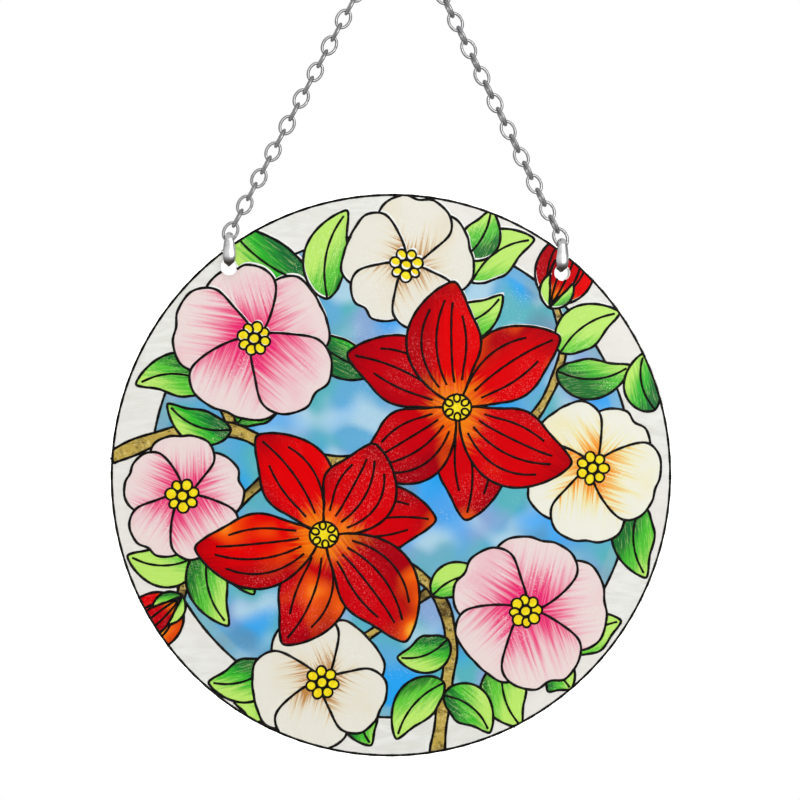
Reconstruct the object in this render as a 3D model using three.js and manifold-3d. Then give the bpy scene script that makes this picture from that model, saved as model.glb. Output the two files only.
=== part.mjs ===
// Round glass suncatcher hung from a cable chain by two pinch bails.
// Units are millimetres. +Z is up and the picture faces -Y. The origin is where a hook bears:
// the underside of the upper long side of the chain's middle link.
import * as THREE from 'three';
import { mergeVertices } from 'three/addons/utils/BufferGeometryUtils.js';
import Module from 'manifold-3d';

const wasm = await Module();
wasm.setup();

// Glass panel
const GLASS_RADIUS = 90;
const GLASS_THICKNESS = 4;
const EDGE_BEVEL = 0.4;
const HOLE_RADIUS = 2.5;
const HOLE_X = 53.2;
const HOLE_ABOVE_CENTRE = 65.5;
const PANEL_STEPS = 56;
const HOLE_STEPS = 20;

// Raised outline enamel on the front face
const LINE_HEIGHT = 0.35;
const LINE_WIDTH = 0.9;
const INNER_CIRCLE_RADIUS = 77.1;
const PICTURE_RADIUS = 89.3;
const CUT_DEPTH = 1;

// Shapes of the flower picture, with as few points as keep their outlines
const PETALS = 5;
const PETAL_WIDTH = 1.1;
const PETAL_EDGE = [[0.04, 0.2], [0.3, 0.66], [0.6, 0.98], [0.86, 0.82], [0.985, 0.36]];
const LILY_BELLY = 0.5;
const LEAF_BELLY = 0.42;
const BUD_BELLY = 0.45;
const BUD_WIDTH = 0.4;
const BUD_BEND = 0.16;
const BLOSSOM_CENTRE = 5.2;
const LILY_CENTRE = 4.6;
const LILY_FOOT = 1.5;
const BLADE_ROUNDING = 0.9;
const CURVE_STEP = 13.5;
const STEM_STEP = 16;
const LEAF_POINTS = 4;
const LILY_POINTS = 5;
const CIRCLE_STEPS = 36;
const CENTRE_STEPS = 6;

// Cable chain
const LINK_LENGTH = 6.9;
const LINK_WIDTH = 5.2;
const WIRE = 1.0;
const LINK_GAP = 0.12;
const LINKS_PER_SIDE = 24;
const STRAND_TWIST = THREE.MathUtils.degToRad(5);
const LINK_STEPS = 8;
const WIRE_SIDES = 5;

// Pinch bails, heights above the hole's centre
const BAIL_TOP = 11.15;
const BAIL_WIDTH = 4.0;
const BAIL_NECK = 2.55;
const STRIP = 0.7;
const FOLD_DEPTH = 1.35;
const GLASS_CLEARANCE = 0.3;
// From the tip up, each point's way in from the straight leg and its height
const BAIL_HOOK = [[1.5, 0.5], [0.85, 1.2], [0.25, 2.1], [0, 3.1], [0, 8.5]];
// The fold's two rounding points: share of the way out to the leg, height, and filling on the inside
const BAIL_FOLD = [[0.86, 9.7, 0.35], [0.5, 10.55, 0.6]];
// The teardrop from below its tip up, each point's half width and height
const BAIL_TEARDROP = [
  [0, 0.1], [1.15, 1.3], [1.5, 1.95], [1.85, 2.9], [2, 4.1], [1.86, 5.8], [1.66, 7.5], [1.4, 9.1], [1.12, 10.6],
  [1, 11.5],
];

// Places worked out from the sizes above
const frontY = -GLASS_THICKNESS / 2;
const pitch = LINK_LENGTH - 2 * WIRE - LINK_GAP;
const arcRadius = (LINK_WIDTH - WIRE) / 2;
const halfStraight = (LINK_LENGTH - LINK_WIDTH) / 2;
const topLinkZ = -(LINK_WIDTH / 2 - WIRE);
const strandLength = LINKS_PER_SIDE * pitch;
const strandRun = HOLE_X - halfStraight;
const strandDrop = Math.sqrt(strandLength ** 2 - strandRun ** 2);
const strandSlope = Math.atan2(strandRun, strandDrop);
const linkInnerRadius = arcRadius - WIRE / 2 - LINK_GAP;
const foldBelowArc = Math.sqrt(linkInnerRadius ** 2 - (BAIL_NECK / 2) ** 2);
const holeZ = topLinkZ - strandDrop - foldBelowArc - (BAIL_TOP - FOLD_DEPTH);
const panelZ = holeZ - HOLE_ABOVE_CENTRE;

const glass = new THREE.MeshStandardMaterial({ color: 0xdfe3d6, roughness: 0.12, metalness: 0 });
const nickel = new THREE.MeshStandardMaterial({ color: 0xc4c6c8, roughness: 0.25, metalness: 1 });

// A closed solid for joining and cutting, from any closed geometry
function toSolid(geometry) {
  const bare = geometry.index ? geometry.toNonIndexed() : geometry.clone();
  bare.deleteAttribute('normal');
  bare.deleteAttribute('uv');
  const merged = mergeVertices(bare, 1e-4);
  return new wasm.Manifold(new wasm.Mesh({
    numProp: 3,
    vertProperties: new Float32Array(merged.attributes.position.array),
    triVerts: new Uint32Array(merged.index.array),
  }));
}

function toGeometry(solid) {
  const mesh = solid.getMesh();
  const geometry = new THREE.BufferGeometry();
  geometry.setAttribute('position', new THREE.BufferAttribute(mesh.vertProperties, 3));
  geometry.setIndex(new THREE.BufferAttribute(mesh.triVerts, 1));
  geometry.computeVertexNormals();
  return geometry;
}

// A flat outline in X and Z, given thickness along Y from fromY to toY
function prism(outline, fromY, toY) {
  const shape = new THREE.Shape(outline.map(([x, z]) => new THREE.Vector2(x, z)));
  const geometry = new THREE.ExtrudeGeometry(shape, { depth: toY - fromY, bevelEnabled: false });
  geometry.rotateX(Math.PI / 2);
  geometry.translate(0, toY, 0);
  return toSolid(geometry);
}

// Flower picture: points are [u, v] from the panel's centre, u to the right and v up

// A small unevenness between -1 and 1 that is the same each time
function sway(k) {
  return Math.sin(2.7 * k + 0.4);
}

// The point at a distance along and across a direction from a base point
function local([u, v], angle, along, across) {
  const c = Math.cos(angle);
  const s = Math.sin(angle);
  return [u + along * c - across * s, v + along * s + across * c];
}

function direction(from, to) {
  return Math.atan2(to[1] - from[1], to[0] - from[0]);
}

function distance(from, to) {
  return Math.hypot(to[0] - from[0], to[1] - from[1]);
}

// A smooth curve through the points
function through(points, closed, step = CURVE_STEP) {
  const vectors = points.map(([u, v]) => new THREE.Vector3(u, v, 0));
  const curve = new THREE.CatmullRomCurve3(vectors, closed, 'catmullrom', 0.5);
  const count = Math.max(3, Math.round(curve.getLength() / step));
  const out = curve.getSpacedPoints(count).map((p) => [p.x, p.y]);
  return closed ? out.slice(0, -1) : out;
}

// The line moved sideways by an amount that may change along it
function aside(line, amount) {
  const last = line.length - 1;
  return line.map((point, i) => {
    const angle = direction(line[Math.max(i - 1, 0)], line[Math.min(i + 1, last)]);
    return local(point, angle, 0, amount(i / last));
  });
}

// A broad petal with a full, slightly wavy tip
function roundPetal(base, angle, length, width, seed) {
  const edge = (side) => PETAL_EDGE.map(([along, across], i) => {
    const reach = along * length * (1 + 0.03 * sway(seed + 3 * i));
    const half = across * width / 2 * (1 + 0.06 * sway(seed + 5 * i + side));
    return local(base, angle, reach, side * half);
  });
  const tip = local(base, angle, length * (0.97 + 0.03 * sway(seed)), 0);
  return { outline: through([...edge(-1), tip, ...edge(1).reverse()], true), ribs: [] };
}

// A pointed leaf or petal that bows sideways, with a number of points along it and if wanted a rib
function blade(base, tip, width, bend, belly, count, ribbed) {
  const length = distance(base, tip);
  const angle = direction(base, tip);
  const bow = [0, 0.25, 0.5, 0.75, 1].map((t) => {
    const sideways = bend * length * 4 * t * (1 - t);
    return local(base, angle, t * length, sideways);
  });
  const middle = through(bow, false, length / count);
  const power = Math.log(0.5) / Math.log(belly);
  const halfWidth = (t) => width / 2 * Math.max(Math.sin(Math.PI * t ** power), 0) ** BLADE_ROUNDING;
  const right = aside(middle, (t) => -halfWidth(t));
  const left = aside(middle, halfWidth).slice(1, -1).reverse();
  const rib = middle.slice(1, -1).filter((_, i) => i % 2 === 0);
  return { outline: [...right, ...left], ribs: ribbed ? [rib] : [] };
}

// A stem along a smooth curve, thick where it starts and thin where it ends
function stem(points, thick, thin) {
  const curve = through(points, false, STEM_STEP);
  const half = (t) => (thick + (thin - thick) * t) / 2;
  return { outline: [...aside(curve, (t) => -half(t)), ...aside(curve, half).reverse()], ribs: [] };
}

function round(centre, radius, steps) {
  const outline = [];
  for (let k = 0; k < steps; k += 1) {
    outline.push(local(centre, 2 * Math.PI * k / steps, radius, 0));
  }
  return { outline, ribs: [] };
}

// Five broad petals round a cluster of small beads, which the solid shows as one ring
function blossom(centre, radius, turn, seed) {
  const shapes = [];
  for (let k = 0; k < PETALS; k += 1) {
    const angle = turn + k * 2 * Math.PI / PETALS + 0.07 * sway(seed + k);
    const reach = radius * (1 + 0.06 * sway(seed + 2 * k));
    const width = reach * (PETAL_WIDTH + 0.07 * sway(seed * k));
    shapes.push(roundPetal(centre, angle, reach, width, seed * 10 + k));
  }
  shapes.push(round(centre, BLOSSOM_CENTRE, CENTRE_STEPS));
  return shapes;
}

// A large red bloom: its petals are [degrees, length, width, bend], those with ribs in front
function lily(centre, petalsBehind, petalsInFront) {
  const petal = ([degrees, length, width, bend], ribbed) => {
    const angle = THREE.MathUtils.degToRad(degrees);
    const base = local(centre, angle, LILY_FOOT, 0);
    const tip = local(centre, angle, length, 0);
    return blade(base, tip, width, bend, LILY_BELLY, LILY_POINTS, ribbed);
  };
  return [
    ...petalsBehind.map((values) => petal(values, false)),
    ...petalsInFront.map((values) => petal(values, true)),
    round(centre, LILY_CENTRE, CENTRE_STEPS),
  ];
}

// A closed bud: two side petals that meet at the tip
function bud(base, degrees, length) {
  const tip = local(base, THREE.MathUtils.degToRad(degrees), length, 0);
  const sides = [-BUD_BEND, BUD_BEND];
  return sides.map((bend) => blade(base, tip, length * BUD_WIDTH, bend, BUD_BELLY, LEAF_POINTS, false));
}

// Each stem's points, then its width where it starts and where it ends
const stems = [
  [[[-50, 13], [-56, 28], [-48, 44]], 3.2, 2.4],
  [[[-32, 6], [-48, -8], [-62, -24], [-68, -42]], 3.2, 2.4],
  [[[17, 14], [22, 32], [14, 50], [4, 64]], 3.0, 2.4],
  [[[36, 9], [48, 24], [54, 42], [50, 58]], 2.9, 2.2],
  [[[19, -52], [32, -46], [44, -42]], 3.0, 2.6],
  [[[13, -36], [-6, -50], [-24, -62]], 3.0, 2.4],
  [[[-89.5, 5], [-72, 12], [-52, 14], [-32, 6], [-8, 5], [17, 14], [36, 9], [62, 4]], 4.6, 2.8],
  [[[15, -89], [17, -72], [19, -52], [13, -36], [-6, -22]], 4.4, 3.0],
];

// Each leaf's base and tip, its width and how far it bows to the left
const leaves = [
  [[-26, 60], [-56, 82], 16, 0.10], [[-22, 56], [-16, 84], 14, 0.12], [[-26, 44], [-3, 34], 12, -0.12],
  [[-57, 27], [-82, 28], 14, -0.16], [[-52, 14], [-72, 22], 11, 0.14], [[-50, 16], [-32, 24], 12, 0.14],
  [[24, 62], [44, 76], 15, 0.14], [[22, 70], [30, 85], 12, -0.1], [[53, 40], [72, 53], 14, 0.12],
  [[52, 34], [76, 36], 13, -0.14], [[14, 48], [34, 58], 12, -0.14], [[80, -8], [82, -32], 14, -0.14],
  [[58, -56], [74, -46], 13, 0.1], [[36, -60], [42, -80], 15, -0.12],
  [[17, -70], [32, -82], 13, 0.14], [[17, -66], [2, -84], 13, -0.12], [[18, -52], [2, -58], 12, 0.14],
  [[13, -38], [30, -32], 11, 0.14], [[-10, -72], [-6, -86], 11, -0.1], [[-36, -76], [-50, -72], 13, -0.12],
  [[-38, -60], [-58, -66], 14, 0.14], [[-62, -26], [-84, -26], 14, 0.14], [[-52, -14], [-44, -38], 12, -0.1],
  [[-58, -22], [-52, -48], 13, -0.14],
];

// Every shape of the picture, from the farthest to the nearest
function picture() {
  return [
    ...stems.map((values) => stem(...values)),
    ...leaves.map((values) => blade(...values, LEAF_BELLY, LEAF_POINTS, false)),
    ...bud([50, 56], 68, 24),
    ...bud([-68, -40], 222, 22),
    ...blossom([3, 67], 21, 0.2, 12),
    ...blossom([-45, 43], 25, 0.55, 11),
    ...blossom([64, 3], 22, 0.9, 13),
    ...blossom([43, -43], 25, 0.1, 14),
    ...blossom([-22, -66], 21, 0.75, 15),
    ...blossom([-67, -7], 20, 0.3, 16),
    ...lily(
      [20, 22],
      [[35, 40, 23, 0.06], [155, 39, 22, -0.08], [275, 36, 22, 0.1]],
      [[92, 40, 24, 0.1], [212, 36, 24, 0.08], [335, 41, 25, -0.1]],
    ),
    ...lily(
      [-22, -19],
      [[8, 36, 22, 0.08], [125, 38, 23, -0.08], [250, 37, 22, 0.1]],
      [[62, 33, 24, -0.1], [186, 41, 24, 0.08], [308, 43, 25, 0.1]],
    ),
  ];
}

// A raised line along the points, sunk a little into the glass so that it joins it
function raisedLine(points, closed) {
  const half = LINE_WIDTH / 2;
  const top = frontY - LINE_HEIGHT;
  const bottom = frontY + LINE_HEIGHT;
  if (!closed) {
    const sides = [...aside(points, () => -half), ...aside(points, () => half).reverse()];
    return prism(sides, top, bottom);
  }
  const count = points.length;
  const moved = (amount) => points.map((point, i) => {
    const angle = direction(points[(i + count - 1) % count], points[(i + 1) % count]);
    return local(point, angle, 0, amount);
  });
  const inside = prism(moved(half), top - CUT_DEPTH, bottom + CUT_DEPTH);
  return prism(moved(-half), top, bottom).subtract(inside);
}

// A cut through all the raised lines over an outline
function cutter(outline) {
  return prism(outline, frontY - CUT_DEPTH, frontY + CUT_DEPTH);
}

// The raised lines of every shape, each shape hiding what lies under it
function tracery() {
  let lines = raisedLine(round([0, 0], INNER_CIRCLE_RADIUS, CIRCLE_STEPS).outline, true);
  for (const { outline, ribs } of picture()) {
    lines = lines.subtract(cutter(outline)).add(raisedLine(outline, true));
    for (const rib of ribs) {
      lines = lines.add(raisedLine(rib, false));
    }
  }
  // The glass is bare under the bails
  const halfWidth = BAIL_WIDTH / 2 + GLASS_CLEARANCE;
  for (const side of [-1, 1]) {
    const corners = [[-halfWidth, 0], [halfWidth, 0], [halfWidth, BAIL_TOP], [-halfWidth, BAIL_TOP]];
    const bare = corners.map(([u, v]) => [side * HOLE_X + u, HOLE_ABOVE_CENTRE + v]);
    lines = lines.subtract(cutter(bare));
  }
  return lines.intersect(cutter(round([0, 0], PICTURE_RADIUS, PANEL_STEPS).outline));
}

// The disc with bevelled edges, its raised lines and its two drilled holes
function panelGeometry() {
  const half = GLASS_THICKNESS / 2;
  const profile = [
    [0, frontY],
    [GLASS_RADIUS - EDGE_BEVEL, frontY],
    [GLASS_RADIUS, frontY + EDGE_BEVEL],
    [GLASS_RADIUS, half - EDGE_BEVEL],
    [GLASS_RADIUS - EDGE_BEVEL, half],
    [0, half],
  ].map(([radius, y]) => new THREE.Vector2(radius, y));
  let panel = toSolid(new THREE.LatheGeometry(profile, PANEL_STEPS)).add(tracery());
  for (const side of [-1, 1]) {
    const drill = new THREE.CylinderGeometry(HOLE_RADIUS, HOLE_RADIUS, 2 * GLASS_THICKNESS, HOLE_STEPS);
    drill.translate(side * HOLE_X, 0, HOLE_ABOVE_CENTRE);
    panel = panel.subtract(toSolid(drill));
  }
  return toGeometry(panel);
}

// One leg from tip to fold, seen from the side: depth and height of the strip's middle line, and filling
function bailLeg() {
  const legY = GLASS_THICKNESS / 2 + GLASS_CLEARANCE + STRIP / 2;
  return [
    ...BAIL_HOOK.map(([wayIn, height]) => [legY - wayIn, height, 0]),
    ...BAIL_FOLD.map(([share, height, fill]) => [legY * share, height, fill]),
    [0, BAIL_TOP - STRIP / 2, FOLD_DEPTH - STRIP],
  ];
}

// The strip bent over the glass, thick at the fold, cut to a teardrop as seen from the front
function bailGeometry() {
  const leg = bailLeg();
  const middle = [...leg, ...leg.slice(0, -1).reverse().map(([y, z, fill]) => [-y, z, fill])];
  const offset = (amount) => middle.map(([y, z, fill], i) => {
    const before = middle[Math.max(i - 1, 0)];
    const after = middle[Math.min(i + 1, middle.length - 1)];
    const along = new THREE.Vector2(after[0] - before[0], after[1] - before[1]).normalize();
    const lower = amount < 0 ? fill : 0;
    return new THREE.Vector2(y + along.y * amount, z - along.x * amount - lower);
  });
  const outline = [...offset(STRIP / 2), ...offset(-STRIP / 2).reverse()];
  const side = new THREE.Shape(outline);
  const strip = new THREE.ExtrudeGeometry(side, { depth: BAIL_WIDTH, bevelEnabled: false });
  strip.translate(0, 0, -BAIL_WIDTH / 2);
  strip.rotateX(Math.PI / 2);
  strip.rotateZ(Math.PI / 2);
  const left = BAIL_TEARDROP.slice(1).reverse().map(([x, z]) => [-x, z]);
  const teardrop = prism([...BAIL_TEARDROP, ...left], -2 * GLASS_THICKNESS, 2 * GLASS_THICKNESS);
  return toGeometry(toSolid(strip).intersect(teardrop));
}

// An oval wire link in X and Z with its long axis along Z: a ring with its two halves moved apart.
// The middles of the ring's straight steps lie on the true oval, so that links bear where they should.
function linkGeometry() {
  const halfStep = Math.PI / LINK_STEPS;
  const ring = new THREE.TorusGeometry(arcRadius / Math.cos(halfStep), WIRE / 2, WIRE_SIDES, LINK_STEPS);
  ring.rotateZ(halfStep);
  const position = ring.attributes.position;
  for (let i = 0; i < position.count; i += 1) {
    position.setX(i, position.getX(i) + Math.sign(position.getX(i)) * halfStraight);
  }
  ring.rotateZ(Math.PI / 2);
  ring.rotateX(Math.PI / 2);
  return toGeometry(toSolid(ring));
}

function named(name, geometry, material) {
  const mesh = new THREE.Mesh(geometry, material.clone());
  mesh.name = name;
  return mesh;
}

const suncatcher = new THREE.Group();

const panel = named('glass_panel', panelGeometry(), glass);
panel.position.z = panelZ;
suncatcher.add(panel);

for (const [word, side] of [['left', -1], ['right', 1]]) {
  const bail = named(`bail_${word}`, bailGeometry(), nickel);
  bail.position.set(side * HOLE_X, 0, holeZ);
  suncatcher.add(bail);

  // The strand runs straight from the end of the top link to the fold of the bail
  const strand = new THREE.Group();
  strand.position.set(side * halfStraight, 0, topLinkZ);
  strand.rotation.y = side * -strandSlope;
  for (let k = 1; k <= LINKS_PER_SIDE; k += 1) {
    const link = named(`chain_link_${word}_${String(k).padStart(2, '0')}`, linkGeometry(), nickel);
    link.position.z = halfStraight - k * pitch;
    link.rotation.z = (k % 2 ? Math.PI / 2 : 0) + STRAND_TWIST;
    strand.add(link);
  }
  suncatcher.add(strand);
}

const topLink = named('chain_link_top', linkGeometry(), nickel);
topLink.position.z = topLinkZ;
topLink.rotation.y = Math.PI / 2;
suncatcher.add(topLink);

export default suncatcher;
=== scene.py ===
"""Looks of a round glass suncatcher: enamel flower picture, raised outlines, chain and bails."""
import math

import bpy
import numpy as np
from mathutils import Matrix, Vector
from mathutils.geometry import delaunay_2d_cdt


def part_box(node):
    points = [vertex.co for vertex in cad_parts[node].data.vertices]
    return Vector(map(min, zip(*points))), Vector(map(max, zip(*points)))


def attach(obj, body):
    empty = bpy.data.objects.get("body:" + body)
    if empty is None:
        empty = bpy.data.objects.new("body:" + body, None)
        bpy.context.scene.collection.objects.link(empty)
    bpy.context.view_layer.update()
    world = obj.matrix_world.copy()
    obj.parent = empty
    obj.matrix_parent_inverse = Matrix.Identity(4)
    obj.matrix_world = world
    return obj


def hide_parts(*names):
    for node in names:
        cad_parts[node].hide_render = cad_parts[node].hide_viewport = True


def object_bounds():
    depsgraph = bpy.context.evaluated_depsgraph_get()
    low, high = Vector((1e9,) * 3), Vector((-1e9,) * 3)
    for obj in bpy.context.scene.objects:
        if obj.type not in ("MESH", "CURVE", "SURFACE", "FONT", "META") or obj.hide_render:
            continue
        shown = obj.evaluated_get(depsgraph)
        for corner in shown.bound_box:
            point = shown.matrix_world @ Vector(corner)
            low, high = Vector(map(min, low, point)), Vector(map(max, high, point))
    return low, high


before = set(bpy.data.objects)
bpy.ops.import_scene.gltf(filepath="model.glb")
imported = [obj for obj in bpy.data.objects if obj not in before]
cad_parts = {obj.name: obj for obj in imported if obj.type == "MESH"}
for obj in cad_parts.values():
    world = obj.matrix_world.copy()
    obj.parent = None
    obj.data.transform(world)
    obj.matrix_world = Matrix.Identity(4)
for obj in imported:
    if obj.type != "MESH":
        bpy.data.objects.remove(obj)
cad_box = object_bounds()

MM = 0.001

# Pane, in millimetres, with the holes' height above its centre
GLASS_THICKNESS = 4
HOLE_X = 53.2
HOLE_V = 65.5
HOLE_RADIUS = 2.5
EDGE_BEVEL = 0.4
HOLE_BEVEL = 0.06
# Place of a bevel's middle ring, as a share of the bevel away from the sharp corner
BEVEL_EASE = 0.3
# Ground walls of the holes: distance from the glass, and thickness
WALL_GAP = 0.01
WALL_SKIN = 0.04
HOLES = ((-HOLE_X, HOLE_V), (HOLE_X, HOLE_V))

# From the frame: the pane's radius in millimetres, and its centre and front in metres
panel_low, panel_high = (Vector(corner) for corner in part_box("glass_panel"))
GLASS_RADIUS = (panel_high.x - panel_low.x) / 2 / MM
PANEL_CENTRE = Vector((0, 0, (panel_low.z + panel_high.z) / 2))
GLASS_FRONT = panel_high.y - GLASS_THICKNESS * MM

# Picture, in millimetres
INNER_CIRCLE = 77.1
ENAMEL_RADIUS = 89.2
LINE_LIMIT = 89.3
RIM_RADIUS = LINE_LIMIT - 0.01
FILM_HOLE = 2.56
FILM_RISE = 0.03
CURVE_STEP = 0.7
# How far inside its circle the sky starts to pale to grey, painted as the raised circle line's shadow, and is
# palest
SKY_LINE_SHADOW = (4.5, 2.6)
# Bare glass round a hole and beside a bail
HOLE_GAP = 0.1
BAIL_GAP = 0.12

# Raised lines: widths and heights in millimetres
LINE = 0.88
FINE_LINE = 0.72
RIB_LINE = 0.76
RIM_WIDTH = 0.82
LINE_RISE = 0.42
RIM_RISE = LINE_RISE * 0.6
# A line's section: each point's place across and height, as shares of the width and the rise
SECTION = ((-0.5, 0.0), (-0.4, 0.55), (-0.18, 0.93), (0.18, 0.93), (0.4, 0.55), (0.5, 0.0))

# How the printed colour slips off its outlines, leaving white that also serves as painted highlights beside
# the raised lines: direction, and distance in millimetres at two heights
SLIP_DIRECTION = (0.42, 0.9)
SLIP_HEIGHTS = (28, 62)
SLIP_DISTANCES = (0.22, 1.0)

# Corners round each kind of circle
PANE_STEPS = 256
HOLE_STEPS = 48
SKY_STEPS = 480
FILM_STEPS = 240
FILM_HOLE_STEPS = 40
RIM_STEPS = 720
FLOOR_STEPS = 64
BEAD_STEPS = 16
EYE_STEPS = 24
SMALL_BEAD_STEPS = 12

# Chain links, in millimetres, and the corners along and round the wire
LINK_LENGTH = 6.9
LINK_WIDTH = 5.2
WIRE = 1.0
LINK_STEPS = 44
WIRE_SIDES = 14
# Seam where a link closes: how much thinner the wire is, and how far that spreads
SEAM_DEPTH = 0.16
SEAM_SPREAD = 0.06

# Pinch bails, in millimetres, with heights above the hole's centre
BAIL_TOP = 11.15
STRIP = 0.7
BAIL_LEG = 2.65
FOLD_FILL = 0.65
BAIL_DOME = 0.5
BAIL_STEP = 0.22
TEARDROP_STEP = 0.2
BAIL_COLUMNS = 13
# Share of the fold's filling that its sides lack
FOLD_ROUNDING = 0.8
# From the tip up, each point's way in from the straight leg and its height
BAIL_HOOK = ((1.5, 0.5), (0.85, 1.2), (0.25, 2.1), (0, 3.1), (0, 5.6), (0, 8.5))
# The fold's two rounding points: share of the way out to the leg, height, and filling on the inside
BAIL_FOLD = ((0.86, 9.7, 0.35), (0.5, 10.55, 0.6))
# The teardrop from below its tip up, each point's half width and height
BAIL_TEARDROP = ((0, 0.1), (1.4, 1.3), (1.7, 1.95), (1.9, 2.9), (2, 4.1),
                 (1.86, 5.8), (1.66, 7.5), (1.4, 9.1), (1.12, 10.6), (1, 11.5))
# Heights where the painted shade on a bail starts towards its hole and is darkest, and how much they vary
BAIL_PAINTED_SHADE = (3.4, 1.4)
BAIL_PAINTED_SHADE_SWING = 1.2

# Camera, from the panel's centre and scale in the photograph
IMAGE_SIDE = 800
PANEL_PIXEL = (393.2, 475.4)
PANEL_RADIUS_PIXELS = 282.0
VIEW_AZIMUTH = math.radians(-5.6)
VIEW_ELEVATION = math.radians(1.0)
VIEW_ROLL = math.radians(0.8)
LENS_MM = 120
SENSOR_MM = 36
CLIP_NEAR = 0.01
CLIP_FAR = 20

# Floor: radius and distance below the part in metres, grey and glow
FLOOR_RADIUS = 1.2
FLOOR_DROP = 0.3
FLOOR_GREY = 0.9
FLOOR_GLOW = 0.42

# Lights: place and diameter in metres, watts, and whether they show in mirrors
LIGHTS = {
    "key": ((0.38, -1.0, 0.08), 0.32, 4.2, True),
    "fill": ((-0.8, -0.8, 0.3), 0.6, 1.2, False),
    "back": ((0.15, 1.1, 0.1), 1.2, 4.4, False),
}
# Surroundings that light and mirrors meet: start and end along an axis, and strength at each if not 0 and 1
GLOW_FRONT = (-0.45, -0.95, 0.2, 1.02)
GLOW_FRONT_HEIGHT = (-0.6, 0.4, 0.3, 1.0)
GLOW_BEHIND = (0.1, 0.8, 0.0, 0.12)
GLOW_LEFT = (-0.6, -0.95, 0.0, 0.6)
GLOW_LEFT_DEPTH = (-0.5, -0.1)
GLOW_BELOW = (-0.26, -0.36, 0.0, 0.42)
GLOW_ABOVE = (0.25, 0.7, 0.0, 0.6)

# Screen colours to linear light
GAMMA = 2.2
# Tarnished metal's tone beside clean metal's, and the spread of roughness
TARNISH = 0.72
ROUGH_SPREAD = (0.85, 1.2)
# Soft patches of the sky: noise scale, shift, where a patch starts and is full, strength, and colour
SKY_PATCHES = (
    (44, (3, 0, 1), 0.5, 0.64, 0.85, (140, 166, 216)),
    (64, (0, 2, 5), 0.5, 0.68, 0.9, (176, 212, 232)),
    (34, (7, 1, 2), 0.52, 0.66, 0.9, (20, 160, 244)),
    (58, (1, 9, 4), 0.58, 0.72, 0.6, (96, 134, 158)),
)
# A seed's step along the patterns
SEED_STEP = 0.37

# Round petals: places along one side, as shares of the length and of the half width
PETAL_SIDES = ((0.04, 0.2), (0.3, 0.66), (0.6, 0.98), (0.86, 0.82), (0.985, 0.36))
PETAL_TIP = 0.97
PETAL_BREADTH = 1.1
PETALS = 5
# Beads of a blossom: radius in millimetres, and the radius of their ring in beads
BEAD_RADIUS = 1.75
BEAD_RING = 2.05

# Pointed leaves and petals: places of their middle line, its steps, and how full the outline is
BOW_PLACES = (0, 0.25, 0.5, 0.75, 1)
BLADE_STEPS = 12
BLADE_FULLNESS = 0.9
LEAF_BELLY = 0.42
# Where the middle rib ends, and how much sooner the ribs at the sides end
RIB_END = 0.93
RIB_SHORTER = 0.22

# Lilies, in millimetres: start of the petals, middle bead, ring of small beads and their radius
LILY_START = 1.5
LILY_EYE = 4.6
LILY_RING = 3.0
LILY_BEAD = 1.3
LILY_BEADS = 6

# Buds, in shares of their length: side petals' length, spread and width, middle petal's width
BUD_LENGTH = 0.94
BUD_SPREAD = 0.16
BUD_WIDTH = 0.34
BUD_MIDDLE = 0.36
# A bud's green cup: length, spread and width in shares, and its start below the bud in millimetres
CUP_LENGTH = 0.34
CUP_SPREAD = 0.17
CUP_WIDTH = 0.14
CUP_DROP = 2

# The picture, in millimetres from the pane's centre, each list from the farthest to the nearest
# Stems: points along the middle, width at the start and at the end
STEMS = (
    (((-50, 13), (-56, 28), (-48, 44)), 3.2, 2.4),
    (((-32, 6), (-48, -8), (-62, -24), (-68, -42)), 3.2, 2.4),
    (((17, 14), (22, 32), (14, 50), (4, 64)), 3.0, 2.4),
    (((36, 9), (48, 24), (54, 42), (50, 58)), 2.9, 2.2),
    (((19, -52), (32, -46), (44, -42)), 3.0, 2.6),
    (((13, -36), (-6, -50), (-24, -62)), 3.0, 2.4),
    (((-89.5, 5), (-72, 12), (-52, 14), (-32, 6), (-8, 5), (17, 14), (36, 9), (62, 4)), 4.6, 2.8),
    (((15, -89), (17, -72), (19, -52), (13, -36), (-6, -22)), 4.4, 3.0),
)
# Leaves: foot, tip, width, and sideways bow as a share of the length
LEAVES = (
    ((-26, 60), (-56, 82), 16, 0.1), ((-22, 56), (-16, 84), 14, 0.12),
    ((-26, 44), (-3, 34), 12, -0.12), ((-57, 27), (-82, 28), 14, -0.16),
    ((-52, 14), (-72, 22), 11, 0.14), ((-50, 16), (-32, 24), 12, 0.14),
    ((24, 62), (44, 76), 15, 0.14), ((22, 70), (30, 85), 12, -0.1),
    ((53, 40), (72, 53), 14, 0.12), ((52, 34), (76, 36), 13, -0.14),
    ((14, 48), (34, 58), 12, -0.14), ((80, -8), (82, -32), 14, -0.14),
    ((58, -56), (74, -46), 13, 0.1), ((50, -62), (58, -68), 12, 0.1),
    ((36, -60), (42, -80), 15, -0.12), ((17, -70), (32, -82), 13, 0.14),
    ((17, -66), (2, -84), 13, -0.12), ((18, -52), (2, -58), 12, 0.14),
    ((13, -38), (30, -32), 11, 0.14), ((-10, -72), (-6, -86), 11, -0.1),
    ((-36, -76), (-50, -72), 13, -0.12), ((-38, -60), (-58, -66), 14, 0.14),
    ((-62, -26), (-84, -26), 14, 0.14), ((-52, -14), (-44, -38), 12, -0.1),
    ((-58, -22), (-52, -48), 13, -0.14), ((84, 22), (80, 40), 12, 0.14),
)
# Buds: foot, direction in degrees, length and seed
BUDS = (
    ((50, 56), 68, 24, 30),
    ((-68, -40), 222, 22, 31),
)
# Blossoms: kind, centre, radius, turn in radians, seed, and beads in the ring
BLOSSOMS = (
    ("cream", (3, 67), 21, 0.2, 12, 7),
    ("pink", (-45, 43), 25, 0.55, 11, 8),
    ("gold", (64, 3), 22, 0.9, 13, 7),
    ("pink", (43, -43), 25, 0.1, 14, 8),
    ("cream", (-22, -66), 21, 0.75, 15, 7),
    ("pink", (-67, -7), 20, 0.3, 16, 7),
)
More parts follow.
